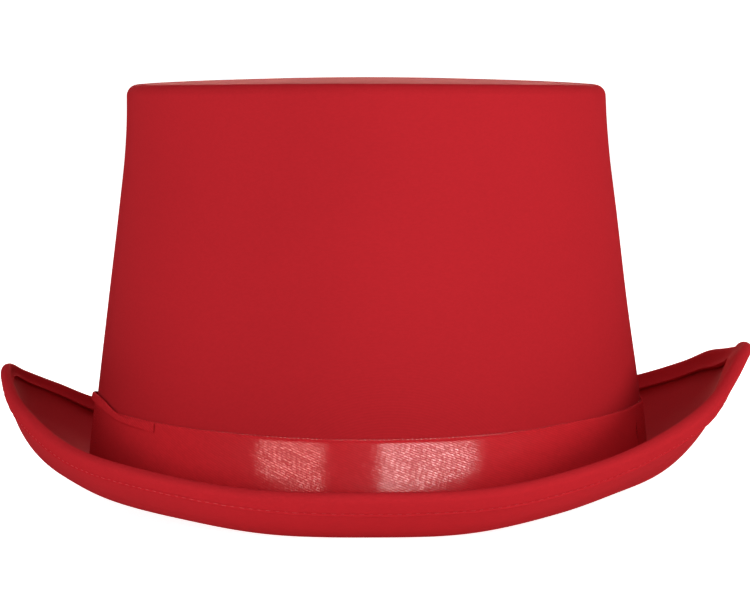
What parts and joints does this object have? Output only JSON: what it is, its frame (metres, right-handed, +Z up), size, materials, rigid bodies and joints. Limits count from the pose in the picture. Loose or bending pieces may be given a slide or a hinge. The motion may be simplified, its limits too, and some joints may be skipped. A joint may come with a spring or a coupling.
{
  "type": "satin top hat",
  "caption": "Red satin top hat with a tapered oval crown, a ribbon band and a bound brim curled up at both sides, resting on its brim.",
  "frame": {"origin": "middle of the overall box, on the surface that the brim rests on", "axes": "+Z up through the tip, -Y towards the front of the hat, +X to the right seen from the front"},
  "size_m": [0.2348, 0.2924, 0.1307],
  "materials": {
    "crown_satin": "red satin",
    "tip_satin": "red satin",
    "brim_satin": "red satin",
    "binding_satin": "red satin, stitched along its hem",
    "band_ribbon": "glossy red satin ribbon",
    "tuck_ribbon": "glossy red satin ribbon"
  },
  "bodies": {
    "root": {"crown_side": "crown_satin", "crown_tip": "tip_satin", "brim": "brim_satin", "brim_binding": "binding_satin", "hat_band": "band_ribbon", "band_tuck": "tuck_ribbon"}
  },
  "joints": []
}
